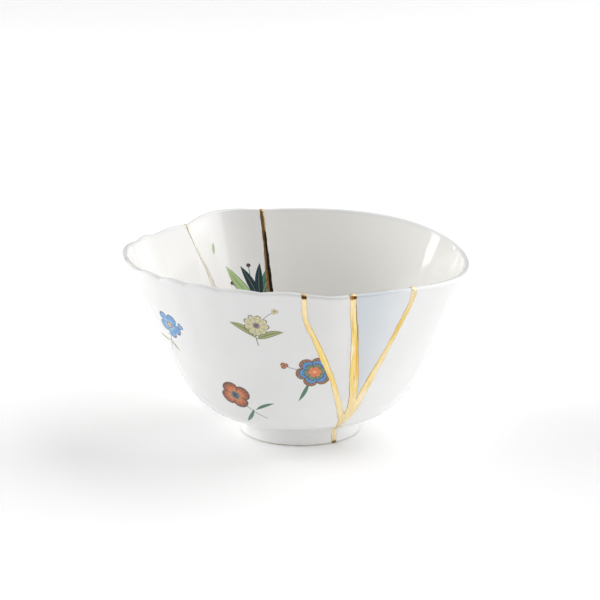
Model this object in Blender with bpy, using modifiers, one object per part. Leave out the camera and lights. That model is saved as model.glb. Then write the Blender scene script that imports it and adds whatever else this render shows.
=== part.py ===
# Kintsugi bowl: a porcelain salad bowl with an uneven rim, broken into five pieces and joined again with gold.
# Metres, +Z up. The bowl stands on its foot ring at height zero, its bounding box centred on the origin.
# Seen from the front (-Y), the large piece with the scalloped rim is on the left.
import math

import bmesh
import bpy
import numpy as np

# The turned form
RIM_RADIUS = 0.091
RIM_HEIGHT = 0.0997
WALL = 0.003
FLOOR_THICKNESS = 0.0045
FLOOR_RADIUS = 0.025
UNDERSIDE_HEIGHT = 0.010
HEEL_REACH = 0.040
FLANK_REACH = 0.070
RIM_SLOPE = 21.0

# The foot ring
FOOT_RADIUS = 0.0325
FOOT_WIDTH = 0.0048
FOOT_FILLET = 0.0042
FOOT_BEVEL = 0.0008

# The uneven rim: dips, flare, notch and lobe, with azimuths in degrees from +X
RIGHT_DIP = 0.0070
RIGHT_DIP_AZIMUTH = -6.0
LEFT_DIP = 0.0022
FRONT_DIP = 0.0008
LEFT_FLARE = 0.0044
NOTCH_DEPTH = 0.0072
NOTCH_AZIMUTH = 143.0
NOTCH_HALF_WIDTH = 32.0
LOBE_REACH = 0.0040
LOBE_RISE = 0.0015
SCALLOP_REACH = 0.0006
SCALLOP_RISE = 0.0011
WEDGE_REACH = 0.0012
WEDGE_DIP = 0.0008
RIGHT_WEDGE_DIP = 0.0010
LOBE_SPAN = (105.0, 139.0)
SCALLOP_CUSPS = (139.0, 156.5, 165.5, 187.0, 203.0, 218.0, 230.0, 243.0, 257.0, 271.0)
WEDGE_SPAN = (271.0, 287.5)
RIGHT_WEDGE_SPAN = (276.0, 303.0)

# The gold: its clearance to the porcelain, and how far it stands proud of both faces
SEAM_CLEARANCE = 0.0003
SEAM_PROUD = 0.0003

# Each seam is a path on the bowl: azimuth, distance along the wall from the bottom's centre, and width
OVER_RIM = 0.155
LONG_SEAM = (
    (-89.0, OVER_RIM, 0.0026),
    (-88.8, 0.140, 0.0025),
    (-88.2, 0.129, 0.0027),
    (-84.7, 0.1165, 0.0028),
    (-81.0, 0.1035, 0.0034),
    (-76.9, 0.090, 0.0027),
    (-73.1, 0.0755, 0.0031),
    (-68.8, 0.061, 0.0038),
    (-65.5, 0.048, 0.0032),
    (-56.3, 0.0325, 0.0030),
    (30.0, 0.005, 0.0030),
    (100.5, 0.036, 0.0034),
    (103.0, 0.070, 0.0036),
    (103.9, 0.104, 0.0034),
    (104.2, 0.125, 0.0023),
    (104.7, OVER_RIM, 0.0023),
)
MIDDLE_SEAM = (
    (-73.6, OVER_RIM, 0.0035),
    (-72.1, 0.134, 0.0038),
    (-70.4, 0.121, 0.0040),
    (-69.3, 0.108, 0.0045),
    (-67.6, 0.092, 0.0052),
    (-65.8, 0.074, 0.0046),
    (-66.5, 0.060, 0.0036),
)
RIGHT_SEAM = (
    (-50.8, OVER_RIM, 0.0036),
    (-49.8, 0.137, 0.0037),
    (-51.5, 0.1245, 0.0036),
    (-54.2, 0.110, 0.0032),
    (-58.0, 0.0935, 0.0043),
    (-61.1, 0.0805, 0.0045),
    (-63.7, 0.066, 0.0042),
    (-66.5, 0.056, 0.0034),
)
BACK_LEFT_SEAM = (
    (141.2, OVER_RIM, 0.0016),
    (138.6, 0.133, 0.0013),
    (133.8, 0.117, 0.0020),
    (131.0, 0.105, 0.0027),
    (121.0, 0.078, 0.0028),
    (103.0, 0.050, 0.0026),
)

# How finely the faceted solids follow the curves
TURN_STEPS = 88
WALL_STEPS = 8
CURVE_STEPS = 400
SEAM_STEPS = 4
LIP_STEPS = 4
FILLET_STEPS = 3

# How far a seam cutter passes beyond the wall, outside and inside
REACH_OUTSIDE = 0.014
REACH_INSIDE = 0.006


def smooth_step(low, high, value):
    u = np.clip((value - low) / (high - low), 0, 1)
    return u * u * (3 - 2 * u)


def wall_curve(steps):
    """Outer side of the wall: a cubic Bezier curve from the flat underside up to the rim, with its normals."""
    slope = math.radians(RIM_SLOPE)
    start = np.array([FLOOR_RADIUS, UNDERSIDE_HEIGHT])
    end = np.array([RIM_RADIUS, RIM_HEIGHT])
    near_start = start + [HEEL_REACH, 0]
    near_end = end - FLANK_REACH * np.array([math.sin(slope), math.cos(slope)])
    t = np.linspace(0, 1, steps + 1)[:, None]
    points = (1 - t) ** 3 * start + 3 * (1 - t) ** 2 * t * near_start
    points = points + 3 * (1 - t) * t ** 2 * near_end + t ** 3 * end
    along = (1 - t) ** 2 * (near_start - start) + 2 * (1 - t) * t * (near_end - near_start)
    along = along + t ** 2 * (end - near_end)
    along = along / np.linalg.norm(along, axis=1)[:, None]
    return points, np.stack([along[:, 1], -along[:, 0]], 1)


def thickness(height):
    """The wall is thicker at the floor and thins to WALL in its lower third."""
    share = (height - UNDERSIDE_HEIGHT) / (RIM_HEIGHT - UNDERSIDE_HEIGHT)
    return FLOOR_THICKNESS + (WALL - FLOOR_THICKNESS) * smooth_step(0, 0.35, share)


def rim_shift(azimuth):
    """How far the rim stands out, and how far it rises, at each azimuth: dips, flare, notch and arcs."""
    degrees = np.mod(np.degrees(azimuth), 360)
    right = np.maximum(np.cos(azimuth - math.radians(RIGHT_DIP_AZIMUTH)), 0)
    left = np.maximum(-np.cos(azimuth), 0)
    front = np.maximum(-np.sin(azimuth), 0)
    near_notch = np.clip(np.abs(degrees - NOTCH_AZIMUTH) / NOTCH_HALF_WIDTH, 0, 1)
    reach = LEFT_FLARE * left ** 5 - NOTCH_DEPTH * np.cos(near_notch * math.pi / 2) ** 2
    rise = -RIGHT_DIP * right ** 3 - LEFT_DIP * left ** 3 - FRONT_DIP * front ** 2

    def arc(start, end):
        return np.sin(math.pi * np.clip((degrees - start) / (end - start), 0, 1))

    reach = reach + LOBE_REACH * arc(*LOBE_SPAN) + WEDGE_REACH * arc(*WEDGE_SPAN)
    rise = rise + LOBE_RISE * arc(*LOBE_SPAN) - WEDGE_DIP * arc(*WEDGE_SPAN)
    rise = rise - RIGHT_WEDGE_DIP * arc(*RIGHT_WEDGE_SPAN)
    for start, end in zip(SCALLOP_CUSPS[:-1], SCALLOP_CUSPS[1:]):
        reach = reach + SCALLOP_REACH * arc(start, end)
        rise = rise + SCALLOP_RISE * arc(start, end)
    return reach, rise


def shaped(turned):
    """Carries points of the plain turned bowl to its uneven form: the rim's shifts fade out down the wall."""
    azimuth = np.arctan2(turned[:, 1], turned[:, 0])
    radius = np.hypot(turned[:, 0], turned[:, 1])
    share = np.clip((turned[:, 2] - UNDERSIDE_HEIGHT) / (RIM_HEIGHT - UNDERSIDE_HEIGHT), 0, 1)
    reach, rise = rim_shift(azimuth)
    radius = radius + reach * smooth_step(0.28, 0.95, share)
    height = turned[:, 2] + rise * share ** 2
    return np.stack([radius * np.cos(azimuth), radius * np.sin(azimuth), height], 1)


def outline(proud, standing):
    """Closed section of the bowl from the floor's centre, over the rim and down the outside to the centre.

    proud is added to every face, and standing is the height of the foot ring's underside.
    """
    outer, outward = wall_curve(WALL_STEPS)
    inner = outer - outward * (thickness(outer[:, 1]) + proud)[:, None]
    outer = outer + outward * proud
    lip_centre = (outer[-1] + inner[-1]) / 2
    lip_side = (outer[-1] - inner[-1]) / 2
    lip_up = np.array([-lip_side[1], lip_side[0]])
    turn = np.linspace(math.pi, 0, LIP_STEPS + 1)[1:-1, None]
    lip = lip_centre + np.cos(turn) * lip_side + np.sin(turn) * lip_up
    foot_radius = FOOT_RADIUS + proud
    foot_inside = FOOT_RADIUS - FOOT_WIDTH - proud
    clear_of_foot = outer[outer[:, 0] > foot_radius + FOOT_FILLET]
    heel = clear_of_foot[0]
    fillet_end = np.array([foot_radius, heel[1] - FOOT_FILLET])
    corner = np.array([foot_radius, heel[1]])
    t = np.linspace(0, 1, FILLET_STEPS + 1)[1:, None]
    fillet = (1 - t) ** 2 * heel + 2 * (1 - t) * t * corner + t ** 2 * fillet_end
    ceiling = UNDERSIDE_HEIGHT - proud
    foot = np.array([
        (foot_radius, standing + FOOT_BEVEL),
        (foot_radius - FOOT_BEVEL, standing),
        (foot_inside + FOOT_BEVEL, standing),
        (foot_inside, standing + FOOT_BEVEL),
        (foot_inside, ceiling - FOOT_BEVEL),
        (foot_inside - FOOT_BEVEL, ceiling),
        (foot_inside / 2, ceiling),
        (0, ceiling),
    ])
    floor_height = inner[0, 1]
    floor = np.array([(0, floor_height), (FLOOR_RADIUS / 2, floor_height)])
    return np.concatenate([floor, inner, lip, clear_of_foot[::-1], fillet, foot])


def turned_bowl(name, proud, standing):
    """Turns the section with a Screw modifier, then gives the mesh the bowl's uneven form."""
    section = outline(proud, standing)
    mesh = bpy.data.meshes.new(name)
    points = [(radius, 0, height) for radius, height in section]
    mesh.from_pydata(points, [(i, i + 1) for i in range(len(points) - 1)], [])
    bowl = bpy.data.objects.new(name, mesh)
    guides.objects.link(bowl)
    screw = bowl.modifiers.new("turn", "SCREW")
    screw.steps = TURN_STEPS
    screw.render_steps = TURN_STEPS
    screw.use_merge_vertices = True
    screw.merge_threshold = 0.00001
    bowl.data = evaluated_mesh(bowl)
    bowl.modifiers.clear()
    flat = np.empty(len(bowl.data.vertices) * 3)
    bowl.data.vertices.foreach_get("co", flat)
    bowl.data.vertices.foreach_set("co", shaped(flat.reshape(-1, 3)).ravel())
    hide(bowl)
    return bowl


def evaluated_mesh(piece):
    graph = bpy.context.evaluated_depsgraph_get()
    return bpy.data.meshes.new_from_object(piece.evaluated_get(graph))


def hide(guide):
    guide.hide_render = True
    guide.display_type = "WIRE"


def middle_of_wall():
    """The middle of floor and wall as one line: distance from the centre, radius, height and normal."""
    outer, outward = wall_curve(CURVE_STEPS)
    middle = outer - outward * thickness(outer[:, 1])[:, None] / 2
    end = middle[-1] + (OVER_RIM - RIM_RADIUS) * np.array([-outward[-1, 1], outward[-1, 0]])
    line = np.concatenate([[(0, middle[0, 1])], middle, [end]])
    normal = np.concatenate([outward[:1], outward, outward[-1:]])
    distance = np.concatenate([[0], np.cumsum(np.linalg.norm(np.diff(line, axis=0), axis=1))])
    return distance, line, normal


def smooth_path(path):
    """A Catmull-Rom curve through the path's points, laid out flat around the bottom's centre."""
    azimuth, distance, width = np.array(path).T
    azimuth = np.radians(azimuth)
    knots = np.stack([distance * np.cos(azimuth), distance * np.sin(azimuth), width], 1)
    knots = np.concatenate([[2 * knots[0] - knots[1]], knots, [2 * knots[-1] - knots[-2]]])
    before, start, end, after = knots[:-3], knots[1:-2], knots[2:-1], knots[3:]
    t = np.linspace(0, 1, SEAM_STEPS, endpoint=False)[:, None, None]
    curve = 2 * start + (end - before) * t + (2 * before - 5 * start + 4 * end - after) * t ** 2
    curve = (curve + (3 * start - before - 3 * end + after) * t ** 3) / 2
    return np.concatenate([curve.transpose(1, 0, 2).reshape(-1, 3), knots[-2:-1]])


def seam_cutter(name, path, clearance):
    """A thin slab that follows the path and passes right through wall, floor and foot ring."""
    flat = smooth_path(path)
    azimuth = np.arctan2(flat[:, 1], flat[:, 0])
    distance = np.hypot(flat[:, 0], flat[:, 1])
    known, line, normal = middle_of_wall()
    radius, height = [np.interp(distance, known, line[:, i]) for i in (0, 1)]
    out_r, out_z = [np.interp(distance, known, normal[:, i]) for i in (0, 1)]
    centre = np.stack([radius * np.cos(azimuth), radius * np.sin(azimuth), height], 1)
    outward = np.stack([out_r * np.cos(azimuth), out_r * np.sin(azimuth), out_z], 1)
    outward /= np.linalg.norm(outward, axis=1)[:, None]
    sideways = np.cross(outward, np.gradient(centre, axis=0))
    sideways *= (flat[:, 2] / 2 + clearance)[:, None] / np.linalg.norm(sideways, axis=1)[:, None]
    outside = centre + REACH_OUTSIDE * outward
    inside = centre - REACH_INSIDE * outward
    rings = np.stack([outside - sideways, outside + sideways, inside + sideways, inside - sideways], 1)
    moved = rings - centre[:, None] + shaped(centre)[:, None]
    slab = bmesh.new()
    corners = [[slab.verts.new(corner) for corner in ring] for ring in moved]
    for ring, following in zip(corners[:-1], corners[1:]):
        for i in range(4):
            k = (i + 1) % 4
            slab.faces.new((ring[i], ring[k], following[k], following[i]))
    slab.faces.new(corners[0][::-1])
    slab.faces.new(corners[-1])
    bmesh.ops.triangulate(slab, faces=slab.faces[:])
    bmesh.ops.recalc_face_normals(slab, faces=slab.faces[:])
    mesh = bpy.data.meshes.new(name)
    slab.to_mesh(mesh)
    slab.free()
    cutter = bpy.data.objects.new(name, mesh)
    guides.objects.link(cutter)
    hide(cutter)
    return cutter


def combine(piece, other, operation):
    """One exact Boolean step, kept as the piece's mesh."""
    boolean = piece.modifiers.new(operation.lower(), "BOOLEAN")
    boolean.operation = operation
    boolean.object = other
    piece.data = evaluated_mesh(piece)
    piece.modifiers.clear()


def separate(mesh):
    """The loose solids of a mesh, as meshes of their own."""
    whole = bmesh.new()
    whole.from_mesh(mesh)
    unseen = set(whole.verts)
    found = []
    while unseen:
        group = {unseen.pop()}
        edge_of_group = set(group)
        while edge_of_group:
            edge_of_group = {e.other_vert(v) for v in edge_of_group for e in v.link_edges} - group
            group |= edge_of_group
        unseen -= group
        found.append({v.index for v in group})
    whole.free()
    solids = []
    for number, group in enumerate(found):
        part = bmesh.new()
        part.from_mesh(mesh)
        others = [v for v in part.verts if v.index not in group]
        bmesh.ops.delete(part, geom=others, context="VERTS")
        solid = bpy.data.meshes.new(f"solid_{number}")
        part.to_mesh(solid)
        part.free()
        solids.append(solid)
    return solids


def nearest_solid(solids, azimuth):
    """The solid that holds the rim at an azimuth."""
    angle = math.radians(azimuth)
    rim = np.array([RIM_RADIUS * math.cos(angle), RIM_RADIUS * math.sin(angle), RIM_HEIGHT])

    def distance(solid):
        flat = np.empty(len(solid.vertices) * 3)
        solid.vertices.foreach_get("co", flat)
        return np.linalg.norm(flat.reshape(-1, 3) - rim, axis=1).min()

    return min(solids, key=distance)


def material(name, colour, roughness, metallic):
    finish = bpy.data.materials.new(name)
    finish.use_nodes = True
    shader = finish.node_tree.nodes["Principled BSDF"]
    shader.inputs["Base Color"].default_value = (*colour, 1)
    shader.inputs["Roughness"].default_value = roughness
    shader.inputs["Metallic"].default_value = metallic
    return finish


def place(name, mesh, finish):
    """Links a finished piece under its own name, shaded smooth except at its edges."""
    mesh.name = name
    mesh.materials.clear()
    mesh.materials.append(finish)
    mesh.shade_smooth()
    mesh.set_sharp_from_angle(angle=math.radians(35))
    piece = bpy.data.objects.new(name, mesh)
    bowl_parts.objects.link(piece)
    return piece


for old in list(bpy.data.objects):
    bpy.data.objects.remove(old)

bowl_parts = bpy.data.collections.new("kintsugi_bowl")
guides = bpy.data.collections.new("cutters")
bpy.context.scene.collection.children.link(bowl_parts)
bpy.context.scene.collection.children.link(guides)

# The whole porcelain bowl, parted by the seams into five pieces
porcelain = turned_bowl("whole_bowl", 0, 0)
gold = turned_bowl("gold_blank", SEAM_PROUD, SEAM_CLEARANCE)
seam_paths = {"long": LONG_SEAM, "middle": MIDDLE_SEAM, "right": RIGHT_SEAM, "back_left": BACK_LEFT_SEAM}
gold_slabs = None
for seam, path in seam_paths.items():
    combine(porcelain, seam_cutter(f"{seam}_break", path, SEAM_CLEARANCE), "DIFFERENCE")
    slab = seam_cutter(f"{seam}_slab", path, 0)
    if gold_slabs is None:
        gold_slabs = slab
    else:
        combine(gold_slabs, slab, "UNION")
combine(gold, gold_slabs, "INTERSECT")

# The pieces, each named by where it stands
white_glaze = (0.86, 0.86, 0.85)
blue_white_glaze = (0.78, 0.81, 0.86)
solids = separate(porcelain.data)
shards = {
    "shard_left": (190.0, white_glaze),
    "shard_back_left": (120.0, white_glaze),
    "shard_right": (20.0, white_glaze),
    "wedge_front_left": (-80.0, white_glaze),
    "wedge_front_right": (-61.0, blue_white_glaze),
}
pieces = []
for name, (azimuth, colour) in shards.items():
    finish = material(f"{name}_glaze", colour, 0.12, 0)
    pieces.append(place(name, nearest_solid(solids, azimuth), finish))
pieces.append(place("gold_seams", gold.data.copy(), material("gold", (0.83, 0.62, 0.25), 0.28, 1)))

# The bounding box of the whole bowl is centred over the origin
corners = np.array([corner for piece in pieces for corner in piece.bound_box])
middle = (corners.min(axis=0) + corners.max(axis=0)) / 2
for piece in pieces:
    flat = np.empty(len(piece.data.vertices) * 3)
    piece.data.vertices.foreach_get("co", flat)
    moved = flat.reshape(-1, 3) - (middle[0], middle[1], 0)
    piece.data.vertices.foreach_set("co", moved.ravel())
    piece.data.update()
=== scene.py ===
# Kintsugi bowl: the looks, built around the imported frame.
# The shards and the gold are worked out again as fine surfaces from the bowl's own form.
import math

import bmesh
import bpy
import numpy as np
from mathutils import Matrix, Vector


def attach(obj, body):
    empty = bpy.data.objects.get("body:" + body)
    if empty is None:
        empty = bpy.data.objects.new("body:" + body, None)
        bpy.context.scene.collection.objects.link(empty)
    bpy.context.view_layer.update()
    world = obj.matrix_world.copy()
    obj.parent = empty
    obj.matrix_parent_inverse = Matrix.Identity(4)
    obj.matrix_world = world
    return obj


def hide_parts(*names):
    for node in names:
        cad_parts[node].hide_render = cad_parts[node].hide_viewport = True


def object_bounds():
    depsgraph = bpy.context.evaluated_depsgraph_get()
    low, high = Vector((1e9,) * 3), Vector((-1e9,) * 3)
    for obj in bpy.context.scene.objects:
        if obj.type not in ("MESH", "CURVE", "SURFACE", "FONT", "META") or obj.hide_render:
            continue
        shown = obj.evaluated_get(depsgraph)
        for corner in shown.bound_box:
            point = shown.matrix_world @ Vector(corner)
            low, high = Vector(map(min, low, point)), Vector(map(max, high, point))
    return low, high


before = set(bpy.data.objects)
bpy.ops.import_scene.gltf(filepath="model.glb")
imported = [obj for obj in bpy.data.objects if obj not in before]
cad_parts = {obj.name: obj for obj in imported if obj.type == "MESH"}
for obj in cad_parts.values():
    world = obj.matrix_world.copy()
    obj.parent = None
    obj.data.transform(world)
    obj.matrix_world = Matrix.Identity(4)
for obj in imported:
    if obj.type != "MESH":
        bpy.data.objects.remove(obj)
cad_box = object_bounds()

# Table and light
# A plain white table top. Soft panels on the right whiten the left inner wall, fills that aren't mirrored
# light the rest, and two narrow windows on the left show as streaks in the glaze.
ON_TABLE = 0.00001
lowest_points = np.concatenate([
    np.array([tuple(v.co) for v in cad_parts[name].data.vertices if v.co.z < ON_TABLE])
    for name in ("shard_left", "shard_right")
])
FOOT_CENTRE = (lowest_points.min(axis=0) + lowest_points.max(axis=0)) / 2
CAMERA_DISTANCE = 1.456
CAMERA_ELEVATION = math.radians(18.5)
CAMERA_PITCH = math.radians(15.754)
CAMERA_YAW = math.radians(0.011)
CAMERA_LENS = 159
BOWL_MIDDLE = (0, 0, 0.05)

bpy.ops.mesh.primitive_plane_add(size=12, location=(0, 0, -0.0001))
table = bpy.context.object
table.name = "table_top"
table_paint = bpy.data.materials.new("table_white")
table_paint.use_nodes = True
table_shader = table_paint.node_tree.nodes["Principled BSDF"]
table_shader.inputs["Base Color"].default_value = (0.93, 0.93, 0.93, 1)
table_shader.inputs["Roughness"].default_value = 0.9
table_shader.inputs["Specular IOR Level"].default_value = 0.1
table_shader.inputs["Emission Color"].default_value = (1, 1, 1, 1)
table_shader.inputs["Emission Strength"].default_value = 0.10
table.data.materials.append(table_paint)

camera_data = bpy.data.cameras.new("camera")
camera_data.lens = CAMERA_LENS
camera_data.sensor_width = 36
camera_data.clip_end = 50
camera = bpy.data.objects.new("camera", camera_data)
camera.location = (
    FOOT_CENTRE[0],
    FOOT_CENTRE[1] - CAMERA_DISTANCE * math.cos(CAMERA_ELEVATION),
    CAMERA_DISTANCE * math.sin(CAMERA_ELEVATION),
)
camera.rotation_euler = (math.radians(90) - CAMERA_PITCH, 0, CAMERA_YAW)
bpy.context.scene.collection.objects.link(camera)
bpy.context.scene.camera = camera


def soft_light(name, place, size, power, mirrored=True):
    """A rectangular area light, width and height in metres, at a place and turned to face the bowl."""
    data = bpy.data.lights.new(name, "AREA")
    data.shape = "RECTANGLE"
    data.size, data.size_y = size
    data.energy = power
    light = bpy.data.objects.new(name, data)
    light.location = place
    aim = Vector(BOWL_MIDDLE) - Vector(place)
    light.rotation_euler = aim.to_track_quat("-Z", "Y").to_euler()
    light.visible_glossy = mirrored
    bpy.context.scene.collection.objects.link(light)


soft_light("panel_right_low", (2.10, 0.60, 0.70), (2.6, 1.3), 17)
soft_light("panel_right_high", (1.40, 0.50, 1.85), (2.6, 1.8), 38)
soft_light("window_left", (-1.89, 0.76, 0.85), (0.34, 1.3), 4.6)
soft_light("window_far_left", (-1.42, 1.54, 1.0), (0.08, 1.7), 3)
soft_light("fill_left", (-2.1, 0.1, 1.0), (2.0, 1.6), 41, mirrored=False)
soft_light("fill_front", (1.6, -1.5, 0.9), (1.6, 1.4), 12, mirrored=False)
soft_light("fill_far_table", (0, 2.4, 1.6), (3.0, 1.5), 7, mirrored=False)

room = bpy.data.worlds.new("room")
room.use_nodes = True
room.node_tree.nodes["Background"].inputs["Color"].default_value = (1, 1, 1, 1)
room.node_tree.nodes["Background"].inputs["Strength"].default_value = 0.12
bpy.context.scene.world = room
bpy.context.scene.view_settings.view_transform = "Standard"

# The porcelain
# Five pieces of one thin glazed bowl on a foot ring. The form is turned, then the rim is shaped by hand:
# it dips, flares, is nipped in at the back left, and is scalloped round the left piece.
RIM_RADIUS = 0.091
RIM_HEIGHT = 0.0997
WALL = 0.003
FLOOR_THICKNESS = 0.0045
FLOOR_RADIUS = 0.025
UNDERSIDE_HEIGHT = 0.010
HEEL_REACH = 0.040
FLANK_REACH = 0.070
RIM_SLOPE = math.radians(21.0)
FOOT_RADIUS = 0.0325
FOOT_WIDTH = 0.0048
FOOT_FILLET = 0.0042
FOOT_BEVEL = 0.0008
WALL_THINS_BY = 0.35
SHAPED_FROM = 0.28
SHAPED_TO = 0.95
RIGHT_DIP = 0.0070
RIGHT_DIP_AZIMUTH = math.radians(-6.0)
LEFT_DIP = 0.0022
FRONT_DIP = 0.0008
LEFT_FLARE = 0.0044
NOTCH_DEPTH = 0.0072
NOTCH_AZIMUTH = 143.0
NOTCH_HALF_WIDTH = 32.0
LOBE_REACH = 0.0040
LOBE_RISE = 0.0015
SCALLOP_REACH = 0.0006
SCALLOP_RISE = 0.0011
WEDGE_REACH = 0.0012
WEDGE_DIP = 0.0008
RIGHT_WEDGE_DIP = 0.0010
LOBE_SPAN = (105.0, 139.0)
SCALLOP_CUSPS = (139.0, 156.5, 165.5, 187.0, 203.0, 218.0, 230.0, 243.0, 257.0, 271.0)
WEDGE_SPAN = (271.0, 287.5)
RIGHT_WEDGE_SPAN = (276.0, 303.0)


def smooth_step(low, high, value):
    """Rises from 0 at low to 1 at high along 3u^2 - 2u^3."""
    u = np.clip((value - low) / (high - low), 0, 1)
    return u * u * (3 - 2 * u)


def wall_curve(t):
    """Outer side of the wall, with outward normals: a cubic Bezier curve from the underside to the rim."""
    start = np.array([FLOOR_RADIUS, UNDERSIDE_HEIGHT])
    end = np.array([RIM_RADIUS, RIM_HEIGHT])
    near_start = start + [HEEL_REACH, 0]
    near_end = end - FLANK_REACH * np.array([math.sin(RIM_SLOPE), math.cos(RIM_SLOPE)])
    t = t[:, None]
    points = (1 - t) ** 3 * start + 3 * (1 - t) ** 2 * t * near_start
    points = points + 3 * (1 - t) * t ** 2 * near_end + t ** 3 * end
    along = (1 - t) ** 2 * (near_start - start) + 2 * (1 - t) * t * (near_end - near_start)
    along = along + t ** 2 * (end - near_end)
    along = along / np.linalg.norm(along, axis=1)[:, None]
    return points, np.stack([along[:, 1], -along[:, 0]], 1)


def thickness(height):
    """The floor's thickness, thinning to the wall's in the lower third."""
    share = (height - UNDERSIDE_HEIGHT) / (RIM_HEIGHT - UNDERSIDE_HEIGHT)
    return FLOOR_THICKNESS + (WALL - FLOOR_THICKNESS) * smooth_step(0, WALL_THINS_BY, share)


def rim_shift(azimuth):
    """The rim's outward reach and rise: powers of the cosine for dips and flare, sine arcs for scallops."""
    degrees = np.mod(np.degrees(azimuth), 360)
    right = np.maximum(np.cos(azimuth - RIGHT_DIP_AZIMUTH), 0)
    left = np.maximum(-np.cos(azimuth), 0)
    front = np.maximum(-np.sin(azimuth), 0)
    near_notch = np.clip(np.abs(degrees - NOTCH_AZIMUTH) / NOTCH_HALF_WIDTH, 0, 1)
    reach = LEFT_FLARE * left ** 5 - NOTCH_DEPTH * np.cos(near_notch * math.pi / 2) ** 2
    rise = -RIGHT_DIP * right ** 3 - LEFT_DIP * left ** 3 - FRONT_DIP * front ** 2

    def arc(start, end):
        """Half a sine wave between two azimuths."""
        return np.sin(math.pi * np.clip((degrees - start) / (end - start), 0, 1))

    reach = reach + LOBE_REACH * arc(*LOBE_SPAN) + WEDGE_REACH * arc(*WEDGE_SPAN)
    rise = rise + LOBE_RISE * arc(*LOBE_SPAN) - WEDGE_DIP * arc(*WEDGE_SPAN)
    rise = rise - RIGHT_WEDGE_DIP * arc(*RIGHT_WEDGE_SPAN)
    for start, end in zip(SCALLOP_CUSPS[:-1], SCALLOP_CUSPS[1:]):
        reach = reach + SCALLOP_REACH * arc(start, end)
        rise = rise + SCALLOP_RISE * arc(start, end)
    return reach, rise


def shaped(radius, height, azimuth):
    """Carries a point of the turned bowl to its uneven form: the rim's shifts fade out down the wall."""
    share = np.clip((height - UNDERSIDE_HEIGHT) / (RIM_HEIGHT - UNDERSIDE_HEIGHT), 0, 1)
    reach, rise = rim_shift(azimuth)
    radius = radius + reach * smooth_step(SHAPED_FROM, SHAPED_TO, share)
    x = FOOT_CENTRE[0] + radius * np.cos(azimuth)
    y = FOOT_CENTRE[1] + radius * np.sin(azimuth)
    return np.stack([x, y, height + rise * share ** 2], -1)


def middle_line():
    """The middle of floor and wall: distance from the bottom's centre, curve parameter and radius."""
    t = np.linspace(0, 1, 2001)
    outer, outward = wall_curve(t)
    middle = outer - outward * thickness(outer[:, 1])[:, None] / 2
    steps = np.linalg.norm(np.diff(middle, axis=0), axis=1)
    distance = FLOOR_RADIUS + np.concatenate([[0], np.cumsum(steps)])
    return distance, t, middle[:, 0]


WALL_DISTANCE, WALL_T, WALL_MIDDLE_RADIUS = middle_line()
RIM_DISTANCE = WALL_DISTANCE[-1]
ROW_SPACING = 0.0013
FLOOR_ROWS = 20
LIP_STEPS = 12
FILLET_STEPS = 10
BEVEL_POINTS = 6
FOOT_OUTER_ROWS = (0.0035, 0.002)
FOOT_INNER_ROWS = (0.003, 0.006)


def quarter(centre, radius, start, end, count):
    """Points on an arc of a circle between two angles, in degrees."""
    angle = np.radians(np.linspace(start, end, count))
    return centre + radius * np.stack([np.cos(angle), np.sin(angle)], 1)


def section(tip, spacing=ROW_SPACING):
    """Rows of the bowl's section, with radius, height and distance along the wall's middle.

    They run from the tip distance up the inside, over the round lip and down the outside. A tip of 0 takes
    in the floor, the foot ring and the underside.
    """
    count = int((RIM_DISTANCE - max(tip, FLOOR_RADIUS)) / spacing)
    distance = np.linspace(max(tip, FLOOR_RADIUS), RIM_DISTANCE, count)
    t = np.interp(distance, WALL_DISTANCE, WALL_T)
    outer, outward = wall_curve(t)
    inner = outer - outward * thickness(outer[:, 1])[:, None]
    lip_side = (outer[-1] - inner[-1]) / 2
    lip_up = np.array([-lip_side[1], lip_side[0]])
    turn = np.linspace(math.pi, 0, LIP_STEPS + 1)[1:-1, None]
    lip = (outer[-1] + inner[-1]) / 2 + np.cos(turn) * lip_side + np.sin(turn) * lip_up
    if tip > 0:
        points = np.concatenate([inner, lip, outer[::-1]])
        along = np.concatenate([distance, np.full(len(lip), RIM_DISTANCE), distance[::-1]])
        return points[:, 0], points[:, 1], along
    flat = np.linspace(0, FLOOR_RADIUS, FLOOR_ROWS, endpoint=False)
    floor = np.stack([flat, np.full(FLOOR_ROWS, inner[0, 1])], 1)
    kept = outer[:, 0] > FOOT_RADIUS + FOOT_FILLET
    heel = outer[kept][0]
    t = np.linspace(0, 1, FILLET_STEPS + 1)[1:, None]
    corner = np.array([FOOT_RADIUS, heel[1]])
    fillet = (1 - t) ** 2 * heel + 2 * (1 - t) * t * corner
    fillet = fillet + t ** 2 * np.array([FOOT_RADIUS, heel[1] - FOOT_FILLET])
    inside = FOOT_RADIUS - FOOT_WIDTH
    bevel = FOOT_BEVEL
    ceiling = np.linspace(inside - bevel, 0, FLOOR_ROWS)[1:]
    foot = np.concatenate([
        [(FOOT_RADIUS, row) for row in FOOT_OUTER_ROWS],
        quarter(np.array([FOOT_RADIUS - bevel, bevel]), bevel, 0, -90, BEVEL_POINTS),
        quarter(np.array([inside + bevel, bevel]), bevel, 270, 180, BEVEL_POINTS),
        [(inside, row) for row in FOOT_INNER_ROWS],
        quarter(np.array([inside - bevel, UNDERSIDE_HEIGHT - bevel]), bevel, 0, 90, BEVEL_POINTS),
        np.stack([ceiling, np.full(len(ceiling), UNDERSIDE_HEIGHT)], 1),
    ])
    low = np.concatenate([fillet, foot])
    low_distance = np.interp(low[:, 0], WALL_MIDDLE_RADIUS, WALL_DISTANCE)
    low_distance = np.where(low[:, 0] < FLOOR_RADIUS, low[:, 0], low_distance)
    points = np.concatenate([floor, inner, lip, outer[kept][::-1], low])
    along = np.concatenate([
        flat, distance, np.full(len(lip), RIM_DISTANCE), distance[kept][::-1], low_distance,
    ])
    return points[:, 0], points[:, 1], along


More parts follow.
